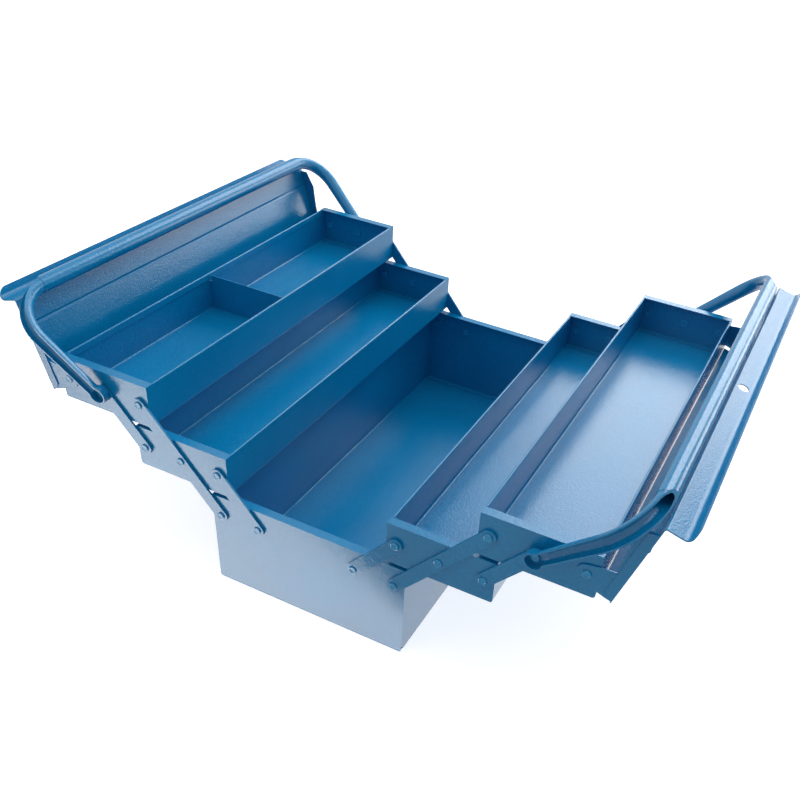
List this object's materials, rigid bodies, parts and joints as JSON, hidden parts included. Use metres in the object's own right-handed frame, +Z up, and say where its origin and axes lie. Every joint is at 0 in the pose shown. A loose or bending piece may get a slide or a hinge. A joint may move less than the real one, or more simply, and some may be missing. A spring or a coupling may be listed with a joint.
{
  "type": "cantilever tool box",
  "caption": "Sheet steel cantilever tool box, shown open: deep base, stepped trays on parallel arms, hinged lids and folding bail handles",
  "frame": {"origin": "middle of the flat underside of the base", "axes": "+X to the right across the trays, +Y along the box away from the viewer, +Z up"},
  "size_m": [0.6372, 0.4774, 0.254],
  "materials": {
    "enamel": "gloss textured enamel",
    "arm_enamel": "gloss enamel",
    "rivet_enamel": "gloss enamel over steel"
  },
  "bodies": {
    "base": {"base_shell": "enamel", "base_near_end": "enamel", "base_far_end": "enamel", "base_rivets": "rivet_enamel"},
    "left_long_arms": {"left_near_long_arm": "arm_enamel", "left_far_long_arm": "arm_enamel"},
    "left_lower_short_arms": {"left_near_lower_short_arm": "arm_enamel", "left_far_lower_short_arm": "arm_enamel"},
    "left_middle_tray": {"left_middle_tray_shell": "enamel", "left_middle_tray_near_end": "enamel", "left_middle_tray_far_end": "enamel", "left_middle_tray_rivets": "rivet_enamel"},
    "left_upper_tray": {"left_upper_tray_shell": "enamel", "left_upper_tray_near_end": "enamel", "left_upper_tray_far_end": "enamel", "left_upper_tray_rivets": "rivet_enamel", "left_upper_tray_divider": "enamel"},
    "left_upper_short_arms": {"left_near_upper_short_arm": "arm_enamel", "left_far_upper_short_arm": "arm_enamel"},
    "left_lid": {"left_lid_panel": "enamel", "left_lid_near_ear": "enamel", "left_lid_far_ear": "enamel"},
    "left_handle_body": {"left_handle": "arm_enamel"},
    "right_long_arms": {"right_near_long_arm": "arm_enamel", "right_far_long_arm": "arm_enamel"},
    "right_lower_short_arms": {"right_near_lower_short_arm": "arm_enamel", "right_far_lower_short_arm": "arm_enamel"},
    "right_middle_tray": {"right_middle_tray_shell": "enamel", "right_middle_tray_near_end": "enamel", "right_middle_tray_far_end": "enamel", "right_middle_tray_rivets": "rivet_enamel"},
    "right_upper_tray": {"right_upper_tray_shell": "enamel", "right_upper_tray_near_end": "enamel", "right_upper_tray_far_end": "enamel", "right_upper_tray_rivets": "rivet_enamel"},
    "right_upper_short_arms": {"right_near_upper_short_arm": "arm_enamel", "right_far_upper_short_arm": "arm_enamel"},
    "right_lid": {"right_lid_panel": "enamel", "right_lid_near_ear": "enamel", "right_lid_far_ear": "enamel"},
    "right_handle_body": {"right_handle": "arm_enamel"}
  },
  "joints": [
    {"name": "left_fold", "type": "hinge", "parent": "base", "child": "left_long_arms", "pos_m": [-0.09, 0, 0.081], "axis": [0, 1, 0], "range_deg": [0, 82]},
    {"name": "left_lower_arm_swing", "type": "hinge", "parent": "base", "child": "left_lower_short_arms", "pos_m": [-0.05, 0, 0.081], "axis": [0, 1, 0], "range_deg": [0, 82]},
    {"name": "left_middle_tray_swing", "type": "hinge", "parent": "left_long_arms", "child": "left_middle_tray", "pos_m": [-0.13, 0, 0.127], "axis": [0, 1, 0], "range_deg": [-82, 0]},
    {"name": "left_upper_tray_swing", "type": "hinge", "parent": "left_long_arms", "child": "left_upper_tray", "pos_m": [-0.17, 0, 0.173], "axis": [0, 1, 0], "range_deg": [-82, 0]},
    {"name": "left_upper_arm_swing", "type": "hinge", "parent": "left_middle_tray", "child": "left_upper_short_arms", "pos_m": [-0.17, 0, 0.127], "axis": [0, 1, 0], "range_deg": [0, 82]},
    {"name": "left_lid_hinge", "type": "hinge", "parent": "left_upper_tray", "child": "left_lid", "pos_m": [-0.25, 0, 0.173], "axis": [0, 1, 0], "range_deg": [0, 104.5]},
    {"name": "left_handle_hinge", "type": "hinge", "parent": "left_upper_tray", "child": "left_handle_body", "pos_m": [-0.21, 0, 0.173], "axis": [0, 1, 0], "range_deg": [0, 69.8]},
    {"name": "right_fold", "type": "hinge", "parent": "base", "child": "right_long_arms", "pos_m": [0.09, 0, 0.081], "axis": [0, -1, 0], "range_deg": [0, 82]},
    {"name": "right_lower_arm_swing", "type": "hinge", "parent": "base", "child": "right_lower_short_arms", "pos_m": [0.05, 0, 0.081], "axis": [0, -1, 0], "range_deg": [0, 82]},
    {"name": "right_middle_tray_swing", "type": "hinge", "parent": "right_long_arms", "child": "right_middle_tray", "pos_m": [0.13, 0, 0.127], "axis": [0, -1, 0], "range_deg": [-82, 0]},
    {"name": "right_upper_tray_swing", "type": "hinge", "parent": "right_long_arms", "child": "right_upper_tray", "pos_m": [0.17, 0, 0.173], "axis": [0, -1, 0], "range_deg": [-82, 0]},
    {"name": "right_upper_arm_swing", "type": "hinge", "parent": "right_middle_tray", "child": "right_upper_short_arms", "pos_m": [0.17, 0, 0.127], "axis": [0, -1, 0], "range_deg": [0, 82]},
    {"name": "right_lid_hinge", "type": "hinge", "parent": "right_upper_tray", "child": "right_lid", "pos_m": [0.25, 0, 0.173], "axis": [0, -1, 0], "range_deg": [0, 104.5]},
    {"name": "right_handle_hinge", "type": "hinge", "parent": "right_upper_tray", "child": "right_handle_body", "pos_m": [0.21, 0, 0.173], "axis": [0, -1, 0], "range_deg": [0, 69.8]}
  ],
  "couplings": [
    {"joint": "left_lower_arm_swing", "follows": "left_fold", "ratio": 1},
    {"joint": "left_middle_tray_swing", "follows": "left_fold", "ratio": -1},
    {"joint": "left_upper_tray_swing", "follows": "left_fold", "ratio": -1},
    {"joint": "left_upper_arm_swing", "follows": "left_fold", "ratio": 1},
    {"joint": "left_handle_hinge", "follows": "left_lid_hinge", "ratio": 0.6679},
    {"joint": "right_lower_arm_swing", "follows": "right_fold", "ratio": 1},
    {"joint": "right_middle_tray_swing", "follows": "right_fold", "ratio": -1},
    {"joint": "right_upper_tray_swing", "follows": "right_fold", "ratio": -1},
    {"joint": "right_upper_arm_swing", "follows": "right_fold", "ratio": 1},
    {"joint": "right_handle_hinge", "follows": "right_lid_hinge", "ratio": 0.6679}
  ]
}
